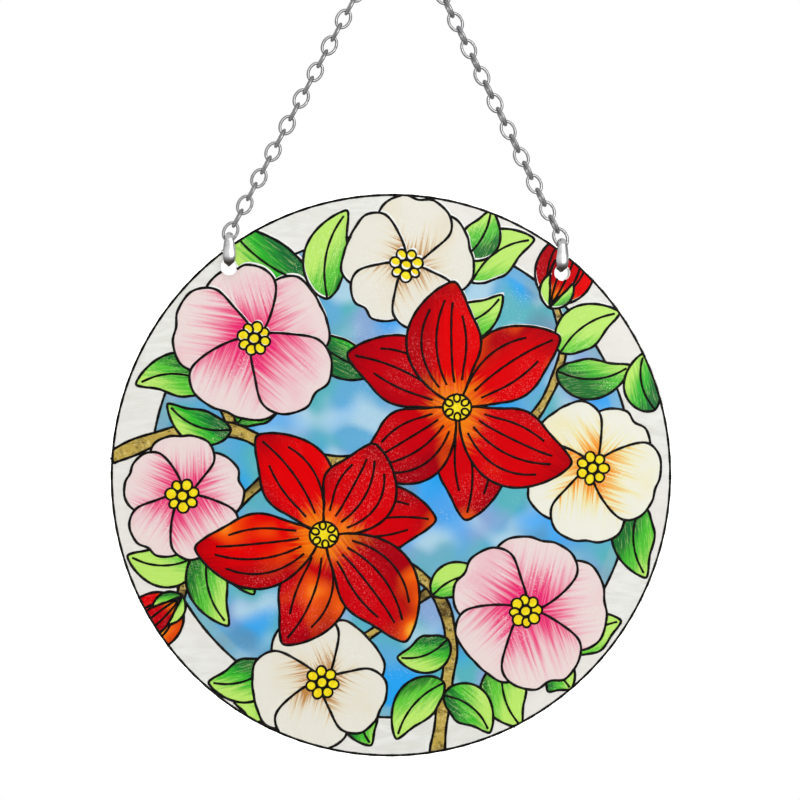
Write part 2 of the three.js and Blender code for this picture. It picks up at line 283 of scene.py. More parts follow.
# Lilies: centre, seed, and each petal's direction in degrees, length, width, bow and number of ribs
LILIES = (
    ((20, 22), 1, ((35, 40, 23, 0.06, 3), (155, 39, 22, -0.08, 3), (275, 36, 22, 0.1, 3),
                   (92, 40, 24, 0.1, 4), (212, 36, 24, 0.08, 4), (335, 41, 25, -0.1, 4))),
    ((-22, -19), 2, ((8, 36, 22, 0.08, 3), (125, 38, 23, -0.08, 3), (250, 37, 22, 0.1, 3),
                     (62, 33, 24, -0.1, 4), (186, 41, 24, 0.08, 4), (308, 43, 25, 0.1, 4))),
)


# Plane geometry

def unit(angle):
    """The point at an angle on a circle of radius 1."""
    return math.cos(angle), math.sin(angle)


def directions(steps):
    """Points evenly round a circle of radius 1."""
    return [unit(2 * math.pi * k / steps) for k in range(steps)]


def circle(radius, steps, centre=(0, 0)):
    """Points evenly round a circle."""
    return [(centre[0] + radius * c, centre[1] + radius * s) for c, s in directions(steps)]


def local(base, angle, along, across):
    """A point given along and across a direction from a base point."""
    c, s = unit(angle)
    return base[0] + along * c - across * s, base[1] + along * s + across * c


def heading(start, end):
    """The direction from one point to another."""
    return math.atan2(end[1] - start[1], end[0] - start[0])


def turn_at(line, i, closed=False):
    """The direction of a line at its i-th point."""
    if closed:
        return heading(line[i - 1], line[(i + 1) % len(line)])
    return heading(line[max(i - 1, 0)], line[min(i + 1, len(line) - 1)])


def aside(line, i, amount):
    """The i-th point of a line, moved sideways."""
    return local(line[i], turn_at(line, i), 0, amount)


def on_panel(u, v, rise=0.0):
    """A point of the front face in metres, raised towards the viewer by a rise in millimetres."""
    return PANEL_CENTRE.x + u * MM, GLASS_FRONT - rise * MM, PANEL_CENTRE.z + v * MM


# Camera and studio

def make_camera():
    """A long lens aimed so that the panel falls where it does in the photograph."""
    metres_per_pixel = GLASS_RADIUS * MM / PANEL_RADIUS_PIXELS
    distance = IMAGE_SIDE * metres_per_pixel * LENS_MM / SENSOR_MM
    turn = Matrix.Rotation(VIEW_AZIMUTH, 3, "Z") @ Matrix.Rotation(-VIEW_ELEVATION, 3, "X")
    look = turn @ Vector((0, 1, 0))
    right = Matrix.Rotation(-VIEW_ROLL, 3, look) @ turn @ Vector((1, 0, 0))
    up = right.cross(look)
    to_right = (IMAGE_SIDE / 2 - PANEL_PIXEL[0]) * metres_per_pixel
    to_top = (PANEL_PIXEL[1] - IMAGE_SIDE / 2) * metres_per_pixel
    place = PANEL_CENTRE + right * to_right + up * to_top - look * distance
    camera = bpy.data.objects.new("camera", bpy.data.cameras.new("camera"))
    camera.data.lens = LENS_MM
    camera.data.sensor_width = SENSOR_MM
    camera.data.clip_start = CLIP_NEAR
    camera.data.clip_end = CLIP_FAR
    rows = Matrix((right, up, -look)).transposed()
    camera.matrix_world = Matrix.Translation(place) @ rows.to_4x4()
    bpy.context.scene.collection.objects.link(camera)
    bpy.context.scene.camera = camera


def make_floor():
    """A wide pale floor below the hanging panel."""
    depth = cad_box[0][2] - FLOOR_DROP
    ring = [(x, y, depth) for x, y in circle(FLOOR_RADIUS, FLOOR_STEPS)]
    mesh = bpy.data.meshes.new("floor")
    mesh.from_pydata(ring, [], [range(FLOOR_STEPS)])
    floor = bpy.data.objects.new("floor", mesh)
    bpy.context.scene.collection.objects.link(floor)
    g = new_graph("floor")
    g.set("Base Color", (FLOOR_GREY, FLOOR_GREY, FLOOR_GREY, 1))
    g.set("Roughness", 0.9)
    g.set("Emission Color", (1, 1, 1, 1))
    g.set("Emission Strength", FLOOR_GLOW)
    mesh.materials.append(g.owner)
    floor.visible_diffuse = False
    floor.visible_glossy = False


def make_light(name, place, size, watts, mirrored):
    """A round soft light aimed at the panel."""
    light = bpy.data.lights.new(name, "AREA")
    light.shape = "DISK"
    light.size = size
    light.energy = watts
    holder = bpy.data.objects.new(name, light)
    holder.location = place
    holder.rotation_euler = (PANEL_CENTRE - Vector(place)).to_track_quat("-Z", "Y").to_euler()
    holder.visible_glossy = mirrored
    bpy.context.scene.collection.objects.link(holder)


def make_studio():
    """White behind the object for the camera, softer surroundings for light and mirrors, and lights."""
    scene = bpy.context.scene
    scene.view_settings.view_transform = "Standard"
    world = bpy.data.worlds.new("studio")
    scene.world = world
    g = Graph(world, "Generated")
    x, y, z = g.parts(g.place)
    front = g.math("MULTIPLY", g.span(y, *GLOW_FRONT), g.span(z, *GLOW_FRONT_HEIGHT))
    ends = g.math("MAXIMUM", g.span(z, *GLOW_BELOW), g.span(z, *GLOW_ABOVE))
    left = g.math("MULTIPLY", g.span(x, *GLOW_LEFT), g.span(y, *GLOW_LEFT_DEPTH))
    strength = g.math("ADD", g.math("MAXIMUM", front, ends), g.span(y, *GLOW_BEHIND))
    soft = g.nodes.new("ShaderNodeBackground")
    white = g.nodes.new("ShaderNodeBackground")
    for background in (soft, white):
        background.inputs["Color"].default_value = (1, 1, 1, 1)
    g.feed(soft.inputs["Strength"], g.math("ADD", strength, left))
    path = g.nodes.new("ShaderNodeLightPath")
    seen = g.math("MAXIMUM", path.outputs["Is Camera Ray"], path.outputs["Is Transmission Ray"])
    g.show_mix(seen, soft.outputs[0], white.outputs[0], "OUTPUT_WORLD")
    for name, facts in LIGHTS.items():
        make_light(name, *facts)


# Materials

def new_graph(name):
    """The graph of a new material."""
    return Graph(bpy.data.materials.new(name))


def srgb(*values):
    """A colour given as it looks on a screen, 0 to 255, as linear light."""
    return tuple((value / 255) ** GAMMA for value in values)


class Graph:
    """Short names for building the nodes of a material or a world."""

    def __init__(self, owner, coordinates="Object"):
        owner.use_nodes = True
        self.owner = owner
        self.nodes, self.links = owner.node_tree.nodes, owner.node_tree.links
        self.shader = self.nodes.get("Principled BSDF")
        self.place = self.nodes.new("ShaderNodeTexCoord").outputs[coordinates]

    def feed(self, socket, value):
        """Link a socket to another one, or give it a plain value."""
        if isinstance(value, bpy.types.NodeSocket):
            self.links.new(value, socket)
        elif value is not None:
            socket.default_value = value

    def set(self, name, value):
        """Link or give a value to the main shader."""
        self.feed(self.shader.inputs[name], value)

    def show_mix(self, share, first, second, kind):
        """Send a mix of two shaders to the output of this kind."""
        mix = self.nodes.new("ShaderNodeMixShader")
        self.feed(mix.inputs["Fac"], share)
        self.links.new(first, mix.inputs[1])
        self.links.new(second, mix.inputs[2])
        output = next(node for node in self.nodes if node.type == kind)
        self.links.new(mix.outputs[0], output.inputs["Surface"])

    def math(self, operation, a, b=None):
        """One sum on one or two values."""
        node = self.nodes.new("ShaderNodeMath")
        node.operation = operation
        self.feed(node.inputs[0], a)
        self.feed(node.inputs[1], b)
        return node.outputs[0]

    def span(self, value, low, high, out_low=0.0, out_high=1.0):
        """A smooth change from out_low to out_high while the value goes from low to high."""
        node = self.nodes.new("ShaderNodeMapRange")
        node.interpolation_type = "SMOOTHSTEP"
        for socket, number in zip(node.inputs[1:5], (low, high, out_low, out_high)):
            socket.default_value = number
        self.feed(node.inputs["Value"], value)
        return node.outputs["Result"]

    def mix(self, share, a, b):
        """Colour a where the share is 0, and colour b where it is 1."""
        node = self.nodes.new("ShaderNodeMix")
        node.data_type = "RGBA"
        self.feed(node.inputs["Factor"], share)
        for socket, value in ((node.inputs[6], a), (node.inputs[7], b)):
            self.feed(socket, (*value, 1) if isinstance(value, tuple) else value)
        return node.outputs[2]

    def parts(self, vector):
        """The three numbers of a vector."""
        split = self.nodes.new("ShaderNodeSeparateXYZ")
        self.links.new(vector, split.inputs[0])
        return split.outputs

    def noise(self, scale, detail=2, rough=0.5, vector=None, distortion=0.0):
        """Noise between 0 and 1, over the object unless a vector is given."""
        node = self.nodes.new("ShaderNodeTexNoise")
        node.inputs["Scale"].default_value = scale
        node.inputs["Detail"].default_value = detail
        node.inputs["Roughness"].default_value = rough
        node.inputs["Distortion"].default_value = distortion
        self.feed(node.inputs["Vector"], vector or self.place)
        return node.outputs["Fac"]

    def stretch(self, vector, scale, shift=None):
        """A vector scaled along each axis, and then moved if there is a shift."""
        node = self.nodes.new("ShaderNodeVectorMath")
        node.operation = "MULTIPLY"
        self.feed(node.inputs[0], vector)
        node.inputs[1].default_value = scale
        if shift is None:
            return node.outputs[0]
        add = self.nodes.new("ShaderNodeVectorMath")
        self.feed(add.inputs[0], node.outputs[0])
        self.feed(add.inputs[1], shift)
        return add.outputs[0]

    def cell(self):
        """The vector of a point's cell, then its parts: along, across and seed."""
        node = self.nodes.new("ShaderNodeAttribute")
        node.attribute_name = "cell"
        return node.outputs["Vector"], *self.parts(node.outputs["Vector"])

    def own(self, seed, step):
        """A number from 0 to 1 that a cell has for its own."""
        return self.math("FRACT", self.math("MULTIPLY", seed, step))

    def bump(self, height, distance, strength):
        """A normal for a surface that rises with the height, by a distance in metres."""
        node = self.nodes.new("ShaderNodeBump")
        node.inputs["Strength"].default_value = strength
        node.inputs["Distance"].default_value = distance
        self.feed(node.inputs["Height"], height)
        return node.outputs["Normal"]

    def grain(self):
        """The fine granular surface of fired enamel."""
        coarse = self.noise(scale=1400, detail=3, rough=0.6)
        waves = self.noise(scale=260)
        return self.bump(self.math("ADD", coarse, waves), distance=0.00006, strength=0.6)

    def enamel(self, colour, rough=0.22, through=0.42, gloss=0.3, bump=None):
        """The finished material: glossy, with a share of light coming through."""
        self.set("Base Color", colour)
        self.set("Roughness", rough)
        self.set("Specular IOR Level", gloss)
        self.set("Normal", bump or self.grain())
        glow = self.nodes.new("ShaderNodeBsdfTranslucent")
        self.feed(glow.inputs["Color"], colour)
        self.show_mix(through, self.shader.outputs[0], glow.outputs[0], "OUTPUT_MATERIAL")
        return self.owner

    def speckle(self, patch_scale, low, high, strength):
        """Fine bright grains that gather in patches."""
        grains = self.span(self.noise(scale=2300, rough=0.6), 0.56, 0.68)
        patches = self.span(self.noise(patch_scale), low, high, 0, strength)
        return self.math("MULTIPLY", grains, patches)

    def streaks(self, vector, seed, across, along, detail=3):
        """Brush strokes that run along a cell, with so many across and along it."""
        shift = self.nodes.new("ShaderNodeCombineXYZ")
        self.links.new(seed, shift.inputs["X"])
        self.links.new(seed, shift.inputs["Z"])
        place = self.stretch(vector, (along, across, 0), shift.outputs[0])
        return self.noise(1.0, detail, 0.6, place)

    def swing(self, value, amount):
        """A noise value turned into a swing of at most about half the amount either way."""
        return self.math("MULTIPLY", self.math("SUBTRACT", value, 0.5), amount)

    def blobs(self, scale, shift, low, high, strength=1.0):
        """Soft patches."""
        cloud = self.noise(scale, detail=1, rough=0.4, vector=self.stretch(self.place, (1, 1, 1), shift))
        return self.span(cloud, low, high, 0, strength)


def sky_enamel():
    """Soft patches of blue and green, paler grey near the edge as painted shadow of the raised circle line.
    """
    g = new_graph("sky_enamel")
    colour = g.mix(g.blobs(52, (0, 0, 0), 0.4, 0.6), srgb(88, 178, 190), srgb(96, 170, 214))
    for scale, shift, low, high, strength, patch in SKY_PATCHES:
        colour = g.mix(g.blobs(scale, shift, low, high, strength), colour, srgb(*patch))
    distance = g.nodes.new("ShaderNodeVectorMath")
    distance.operation = "DISTANCE"
    g.links.new(g.place, distance.inputs[0])
    distance.inputs[1].default_value = on_panel(0, 0)
    # Painted shadow of the raised circle line: the sky turns paler grey just inside it.
    shadow_from, shadow_to = ((INNER_CIRCLE - inwards) * MM for inwards in SKY_LINE_SHADOW)
    line_shadow = g.span(distance.outputs["Value"], shadow_from, shadow_to, 0, 0.5)
    colour = g.mix(line_shadow, colour, srgb(142, 182, 194))
    colour = g.mix(g.speckle(60, 0.5, 0.7, 0.25), colour, srgb(225, 240, 250))
    return g.enamel(colour)


def ring_enamel():
    """Off-white with level brush strokes."""
    g = new_graph("ring_enamel")
    flat = g.stretch(g.place, (1.0, 1.0, 4.0))
    strokes = g.noise(scale=60, detail=4, rough=0.65, vector=flat, distortion=1.2)
    colour = g.mix(g.span(strokes, 0.35, 0.7), srgb(223, 222, 216), srgb(237, 236, 233))
    colour = g.mix(g.blobs(26, (4, 6, 2), 0.45, 0.6, 0.7), colour, srgb(233, 228, 223))
    colour = g.mix(g.speckle(90, 0.4, 0.7, 0.3), colour, srgb(244, 244, 242))
    return g.enamel(colour, rough=0.3)


def red_enamel():
    """Red, orange at the foot, dark at the tip and one side, with glowing patches."""
    g = new_graph("red_enamel")
    vector, along, across, seed = g.cell()
    strokes = g.swing(g.streaks(vector, seed, across=14, along=1.6), 0.4)
    depth = g.math("ADD", along, strokes)
    red = g.mix(g.own(seed, 1.7), srgb(232, 2, 4), srgb(190, 0, 24))
    colour = g.mix(g.span(depth, 0.04, 0.27), srgb(246, 130, 20), red)
    colour = g.mix(g.span(depth, 0.66, 1.05, 0, 0.7), colour, srgb(138, 4, 24))
    shade = g.math("ADD", across, strokes)
    colour = g.mix(g.span(shade, 0.2, 0.9, 0, 0.55), colour, srgb(128, 2, 26))
    patches = g.noise(scale=34, vector=g.stretch(g.place, (1, 1, 1), seed))
    colour = g.mix(g.span(patches, 0.58, 0.7, 0, 0.9), colour, srgb(250, 96, 16))
    colour = g.mix(g.span(patches, 0.66, 0.76, 0, 0.9), colour, srgb(250, 200, 60))
    colour = g.mix(g.speckle(48, 0.42, 0.64, 0.5), colour, srgb(238, 120, 120))
    return g.enamel(colour, rough=0.2, gloss=0.06)


def pale_enamel(name, tip, base, stroke, reach):
    """A pale petal with coloured brush strokes that fan out from its foot."""
    g = new_graph(name)
    vector, along, _, seed = g.cell()
    strokes = g.swing(g.streaks(vector, seed, across=16, along=1.1, detail=4), 1.3)
    fade = g.math("SUBTRACT", along, strokes)
    colour = g.mix(g.span(fade, 0.1, reach + 0.25), base, tip)
    colour = g.mix(g.span(fade, reach, 0.08), colour, stroke)
    cloud = g.noise(scale=45, detail=3, rough=0.5)
    colour = g.mix(g.span(cloud, 0.52, 0.75, 0, 0.4), colour, base)
    colour = g.mix(g.speckle(70, 0.4, 0.65, 0.5), colour, srgb(248, 244, 240))
    return g.enamel(colour, rough=0.24)


def leaf_enamel():
    """Green, dark at the foot and light at the tip, with strokes and hatching."""
    g = new_graph("leaf_enamel")
    vector, along, across, seed = g.cell()
    strokes = g.swing(g.streaks(vector, seed, across=8, along=2.0), 0.9)
    own = g.own(seed, 1.3)
    depth = g.math("ADD", g.math("ADD", along, g.math("MULTIPLY", across, 0.5)), strokes)
    depth = g.math("ADD", depth, g.span(own, 0.0, 1.0, -0.25, 0.45))
    dark = g.mix(own, srgb(8, 104, 52), srgb(30, 118, 30))
    middle = g.mix(own, srgb(30, 180, 40), srgb(104, 205, 60))
    colour = g.mix(g.span(depth, 0.0, 0.5), dark, middle)
    colour = g.mix(g.span(depth, 0.45, 1.0), colour, srgb(186, 232, 104))
    hatch = g.streaks(vector, seed, across=30, along=5, detail=2)
    colour = g.mix(g.span(hatch, 0.56, 0.68, 0, 0.4), colour, srgb(214, 240, 150))
    colour = g.mix(g.speckle(60, 0.45, 0.65, 0.5), colour, srgb(225, 245, 180))
    return g.enamel(colour)


def stem_enamel():
    """Brown and gold wisps with pale and dark spots."""
    g = new_graph("stem_enamel")
    drawn_out = g.stretch(g.place, (0.5, 1, 1.0))
    wisps = g.noise(scale=220, detail=4, rough=0.7, vector=drawn_out, distortion=2.5)
    colour = g.mix(g.span(wisps, 0.34, 0.52), srgb(84, 66, 30), srgb(188, 160, 74))
    pale = g.noise(scale=520, detail=4, rough=0.7, distortion=1.8)
    colour = g.mix(g.span(pale, 0.5, 0.66, 0, 0.75), colour, srgb(226, 208, 132))
    dark = g.noise(scale=70)
    colour = g.mix(g.span(dark, 0.53, 0.66, 0, 0.8), colour, srgb(72, 54, 28))
    return g.enamel(colour, rough=0.28)


def bead_enamel():
    """Clear yellow."""
    g = new_graph("bead_enamel")
    tone = g.noise(scale=500)
    colour = g.mix(g.span(tone, 0.35, 0.7), srgb(248, 216, 8), srgb(252, 238, 40))
    return g.enamel(colour, rough=0.2, through=0.3)


def slip_and_glint_enamel():
    """The white ground that shows where a colour falls short of its outline, which also stands in for painted
    highlights along the raised lines.
    """
    g = new_graph("slip_and_glint_enamel")
    tone = g.noise(scale=700)
    return g.enamel(g.mix(tone, srgb(236, 236, 232), srgb(252, 252, 250)), rough=0.25)


def outline_enamel():
    """Black, slightly brown raised enamel with a broken gloss."""
    g = new_graph("outline_enamel")
    tone = g.noise(scale=900, detail=3, rough=0.6)
    g.set("Base Color", g.mix(g.span(tone, 0.4, 0.8), srgb(10, 9, 9), srgb(38, 30, 26)))
    g.set("Roughness", g.span(g.noise(scale=700, detail=3, rough=0.6), 0.3, 0.7, 0.22, 0.45))
    g.set("Specular IOR Level", 0.12)
    g.set("Normal", g.bump(g.noise(scale=1800), distance=0.00005, strength=0.5))
    return g.owner


def ground_glass():
    """The matt white wall that a drill leaves in glass."""
    g = new_graph("ground_glass")
    marks = g.noise(scale=1500, detail=3, rough=0.6, vector=g.stretch(g.place, (1, 3, 1)))
    colour = g.mix(marks, srgb(244, 246, 244), srgb(255, 255, 255))
    return g.enamel(colour, rough=0.6, through=0.6, bump=g.bump(marks, distance=0.00003, strength=0.5))


def clear_glass():
    """See-through by plain values, with a faint waviness."""
    g = new_graph("clear_glass")
    g.set("Base Color", (0.96, 0.985, 0.95, 1))
    g.set("Transmission Weight", 1.0)
    g.set("Roughness", 0.03)
    g.set("IOR", 1.5)
    g.set("Normal", g.bump(g.noise(scale=45, rough=0.4), distance=0.0002, strength=0.08))
    return g.owner


def metal(name, colour, rough, painted_tip_shade=False):
    """Plated metal with polishing marks and faint tarnish, and painted shade darkening a bail's lower end
    towards its hole.
    """
    g = new_graph(name)
    tarnished = tuple(part * TARNISH for part in colour)
    tone = g.mix(g.span(g.noise(scale=350, detail=3, rough=0.6), 0.45, 0.8), colour, tarnished)
    # Painted shade: below these heights a bail turns dark brownish grey towards the hole, with a wavering
    # edge.
    if painted_tip_shade:
        shade_from, shade_to = (PANEL_CENTRE.z + (HOLE_V + height) * MM for height in BAIL_PAINTED_SHADE)
        varied = g.swing(g.noise(scale=600), BAIL_PAINTED_SHADE_SWING * MM)
        height = g.math("ADD", g.parts(g.place)[2], varied)
        tone = g.mix(g.span(height, shade_from, shade_to), tone, srgb(96, 88, 80))
    g.set("Base Color", tone)
    g.set("Metallic", 1.0)
    marks = g.noise(scale=2200, detail=3, rough=0.6, vector=g.stretch(g.place, (1, 1, 0.2)))
    smoothest, roughest = (rough * share for share in ROUGH_SPREAD)
    g.set("Roughness", g.span(marks, 0.3, 0.7, smoothest, roughest))
    g.set("Normal", g.bump(marks, distance=0.00002, strength=0.2))
    return g.owner


# Shapes of the picture, in millimetres on the panel: u to the right, v up

def sway(k):
    """A small unevenness between -1 and 1 that is the same each time."""
    return math.sin(2.7 * k + 0.4)


def uneven(amount, k):
    """A factor that is within an amount of 1."""
    return 1 + amount * sway(k)


def spline(a, b, c, d, t):
    """The smooth curve from b to c at a share t of the way, with a before them and d after."""
    first = (c - a) * t
    second = (2 * a - 5 * b + 4 * c - d) * t * t
    third = (3 * b - a - 3 * c + d) * t ** 3
    return 0.5 * (2 * b + first + second + third)


def through(points, closed=False, step=CURVE_STEP):
    """A smooth curve through the points, as a list about a step apart."""
    count = len(points)
    out = []
    for i in range(count if closed else count - 1):
        near = range(i - 1, i + 3)
        if closed:
            corners = [points[k % count] for k in near]
        else:
            corners = [points[min(max(k, 0), count - 1)] for k in near]
        pieces = max(2, round(math.dist(corners[1], corners[2]) / step))
        for j in range(pieces):
            out.append(tuple(spline(*values, j / pieces) for values in zip(*corners)))
    if not closed:
        out.append(tuple(points[-1]))
    return out


def shape(kind, outline, base, angle, length, width, seed, ribs=(), line=LINE):
    """One shape of the picture, with what its colour and its lines need to know."""
    corners = np.asarray(outline)
    return {"kind": kind, "outline": outline, "base": base, "angle": angle, "length": length, "width": width,
            "seed": seed, "ribs": ribs, "line": line, "low": corners.min(axis=0), "high": corners.max(axis=0)}


def round_field(kind, radius, steps, centre=(0, 0)):
    """A circle with no strokes of its own."""
    return shape(kind, circle(radius, steps, centre), centre, 0, 1, 1, 0)


def round_petal(kind, base, angle, length, width, seed):
    """A broad petal with a full, slightly wavy tip."""
    sides = {}
    for side in (-1, 1):
        sides[side] = [local(base, angle, a * length * uneven(0.03, seed + 3 * i),
                             side * w * width / 2 * uneven(0.06, seed + 5 * i + side))
                       for i, (a, w) in enumerate(PETAL_SIDES)]
    tip = local(base, angle, length * (PETAL_TIP + 0.03 * sway(seed)), 0)
    points = [*sides[-1], tip, *reversed(sides[1])]
    return shape(kind, through(points, True), base, angle, length, width, seed)


def blade(kind, base, tip, width, bend, ribs, belly, seed, rib_from=0.0):
    """A pointed leaf or petal that bows sideways and is widest at its belly, with ribs along it."""
    length = math.dist(base, tip)
    angle = heading(base, tip)
    bow = [local(base, angle, t * length, bend * length * 4 * t * (1 - t)) for t in BOW_PLACES]
    middle = through(bow, step=length / BLADE_STEPS)
    last = len(middle) - 1
    power = math.log(0.5) / math.log(belly)

    def half_width(i):
        """Half the width at a point of the middle line."""
        if not 0 < i < last:
            return 0.0
        return width / 2 * math.sin(math.pi * (i / last) ** power) ** BLADE_FULLNESS

    right = [aside(middle, i, -half_width(i)) for i in range(last + 1)]
    left = [aside(middle, i, half_width(i)) for i in range(last - 1, 0, -1)]
    lines = []
    for k in range(ribs):
        share = (k + 1) / (ribs + 1) * 2 - 1
        rib_to = RIB_END - RIB_SHORTER * abs(share)
        lines.append(through([aside(middle, i, share * half_width(i)) for i in range(last + 1)
                              if rib_from <= i / last <= rib_to]))
    return shape(kind, through(right + left, True), base, angle, length, width, seed, lines)


def stem(points, thick, thin, seed):
    """A stem along a smooth curve, thick where it starts, with slight knots."""
    curve = through(points)
    last = len(curve) - 1
    half = [(thick + (thin - thick) * i / last) / 2 * uneven(0.1, i * 0.11 + seed) for i in range(last + 1)]
    right = [aside(curve, i, -half[i]) for i in range(last + 1)]
    left = [aside(curve, i, half[i]) for i in range(last, -1, -1)]
    length = math.dist(curve[0], curve[-1])
    return shape("stem", right + left, curve[0], heading(curve[0], curve[-1]), length, thick, seed)


def bead(centre, radius, squash, turn, seed, steps=BEAD_STEPS):
    """A small oval bead."""
    points = [local(centre, turn, radius * c, radius * squash * s) for c, s in directions(steps)]
    return shape("bead", points, centre, 0.0, radius, 2 * radius, seed, line=FINE_LINE)


def blossom(kind, centre, radius, turn, seed, beads):
    """Five broad petals round a cluster of small beads."""
    out = []
    for k in range(PETALS):
        angle = turn + k * 2 * math.pi / PETALS + 0.07 * sway(seed + k)
        reach = radius * uneven(0.06, seed + 2 * k)
        width = reach * (PETAL_BREADTH + 0.07 * sway(seed * k))
        out.append(round_petal(kind, centre, angle, reach, width, seed * 10 + k))
    for k in range(beads):
        angle = turn + k * 2 * math.pi / beads
        place = local(centre, angle, BEAD_RADIUS * BEAD_RING, 0)
        size = BEAD_RADIUS * uneven(0.08, seed + k)
        out.append(bead(place, size, 0.92 + 0.08 * sway(k), angle, seed * 10 + k))
    out.append(bead(centre, BEAD_RADIUS, 0.95, turn, seed * 10 + 9))
    return out


def lily(centre, seed, petals):
    """A large red bloom round one big bead with a ring of small ones."""
    out = []
    for k, (degrees, length, width, bend, ribs) in enumerate(petals):
        angle = math.radians(degrees)
        base = local(centre, angle, LILY_START, 0)
        tip = local(centre, angle, length, 0)
        out.append(blade("red", base, tip, width, bend, ribs, 0.5, seed * 10 + k, rib_from=0.1))
    out.append(bead(centre, LILY_EYE, 0.9, 0.0, seed, EYE_STEPS))
    for k in range(LILY_BEADS):
        angle = math.radians(60 * k + 25 + seed * 7)
        place = local(centre, angle, LILY_RING, 0)
        out.append(bead(place, LILY_BEAD, 0.8, angle, seed * 10 + k, SMALL_BEAD_STEPS))
    return out


def bud(base, degrees, length, seed):
    """A closed bud: two side petals, a middle one over them, and a green cup."""
    angle = math.radians(degrees)
    out = []
    for side in (-1, 1):
        tip = local(base, angle, length * BUD_LENGTH, side * length * BUD_SPREAD)
        out.append(blade("red", base, tip, length * BUD_WIDTH, side * 0.16, 1, 0.42, seed * 10 + side))
    tip = local(base, angle, length, 0)
    out.append(blade("red", base, tip, length * BUD_MIDDLE, 0.0, 2, 0.45, seed * 10 + 3))
    foot = local(base, angle, -CUP_DROP, 0)
    for side in (-1, 1):
        tip = local(base, angle, length * CUP_LENGTH, side * length * CUP_SPREAD)
        out.append(blade("leaf", foot, tip, length * CUP_WIDTH, side * 0.14, 0, 0.5, seed * 10 + side))
    return out


def picture():
    """All shapes, from the farthest to the nearest."""
    out = [round_field("sky", INNER_CIRCLE, SKY_STEPS)]
    out += [stem(points, thick, thin, k) for k, (points, thick, thin) in enumerate(STEMS)]
    out += [blade("leaf", base, tip, width, bend, 1, LEAF_BELLY, 100 + k)
            for k, (base, tip, width, bend) in enumerate(LEAVES)]
    for make, facts in ((bud, BUDS), (blossom, BLOSSOMS), (lily, LILIES)):
        for one in facts:
            out += make(*one)
    return out


# Meshes

def add_piece(name, verts, faces, material, smooth=True, sharp_degrees=None):
    """A finished piece that rides on the part's one body."""
    mesh = bpy.data.meshes.new(name)
    mesh.from_pydata(verts, [], faces)
    mesh.validate()
    mesh.materials.append(material)
    if smooth:
        mesh.shade_smooth()
    if sharp_degrees:
        mesh.set_sharp_from_angle(angle=math.radians(sharp_degrees))
    piece = bpy.data.objects.new(name, mesh)
    bpy.context.scene.collection.objects.link(piece)
    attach(piece, "root")
    return piece


def band(first, second, count):
    """Faces between two rings of corners, each given by its first corner."""
    return [(first + k, first + (k + 1) % count, second + (k + 1) % count, second + k) for k in range(count)]


def inside(points, outline):
    """Which of the points lie inside the outline."""
    px, py = points[:, 0], points[:, 1]
    result = np.zeros(len(points), bool)
    corners = np.asarray(outline)
    for (x0, y0), (x1, y1) in zip(corners, np.roll(corners, -1, axis=0)):
        crosses = (y0 > py) != (y1 > py)
        if y0 != y1:
            result ^= crosses & (px < (x1 - x0) * (py - y0) / (y1 - y0) + x0)
    return result


def bare(points):
    """Where the glass has no enamel: past its edge, in the holes and under the bails."""
    away = np.hypot(points[:, 0], points[:, 1]) > LINE_LIMIT
    halves, heights = zip(*BAIL_TEARDROP)
    for u, v in HOLES:
        du, dv = points[:, 0] - u, points[:, 1] - v
        away |= np.hypot(du, dv) < HOLE_RADIUS + HOLE_GAP
        away |= (np.abs(du) < np.interp(dv, heights, halves) + BAIL_GAP) & (dv > 0)
    return away


def visible_runs(line, closed, later):
    """The stretches of a line that no later shape covers, and whether each is closed."""
    points = np.asarray(line)
    hidden = bare(points)
    low, high = points.min(axis=0), points.max(axis=0)
    for other in later:
        if (other["low"] < high).all() and (other["high"] > low).all():
            hidden |= inside(points, other["outline"])
    count = len(points)
    if not hidden.any():
        return [(points.tolist(), closed)]
    if hidden.all():
        return []
    start = int(np.argmax(hidden)) if closed else 0
    order = [(start + k) % count for k in range(count + 1)] if closed else list(range(count))
    runs, run = [], []
    for here, nxt in zip(order, order[1:] + [None]):
        if not hidden[here]:
            run.append(points[here].tolist())
        if nxt is None or hidden[nxt] != hidden[here]:
            if nxt is not None:
                middle = ((points[here] + points[nxt]) / 2).tolist()
                if hidden[here]:
                    run = [middle]
                    continue
                run.append(middle)
            if len(run) > 1:
                runs.append((run, False))
            run = []
    return runs


class Lines:
    """Raised lines gathered into one mesh."""

    def __init__(self):
        self.verts, self.faces, self.count = [], [], 0

    def add(self, points, closed, width, rise=LINE_RISE):
        """One line, a little uneven in width and height, with flat ends if it is open."""
        count, first, sides = len(points), len(self.verts), len(SECTION)
        self.count += 1
        for i, point in enumerate(points):
            turn = turn_at(points, i, closed)
            size = 1 + 0.1 * sway(0.31 * i + 1.7 * self.count) + 0.05 * sway(1.3 * i)
            for across, up in SECTION:
                u, v = local(point, turn, 0, across * width * size)
                self.verts.append(on_panel(u, v, up * rise * (0.9 + 0.1 * size)))
        for i in range(count if closed else count - 1):
            self.faces += band(first + i * sides, first + (i + 1) % count * sides, sides)
        if not closed:
            self.faces.append(tuple(range(first, first + sides))[::-1])
            self.faces.append(tuple(range(first + (count - 1) * sides, first + count * sides)))


def make_outlines(shapes):
    """Outlines and ribs where nothing nearer covers them, and the line round the rim."""
    lines = Lines()
    for k, one in enumerate(shapes):
        later = shapes[k + 1:]
        for run, closed in visible_runs(one["outline"], True, later):
            lines.add(run, closed, one["line"])
        for rib in one["ribs"]:
            for run, closed in visible_runs(rib, False, later):
                lines.add(run, closed, RIB_LINE)
    for run, closed in visible_runs(circle(RIM_RADIUS, RIM_STEPS), True, []):
        lines.add(run, closed, RIM_WIDTH, RIM_RISE)
    add_piece("raised_outlines", lines.verts, lines.faces, outline_enamel())


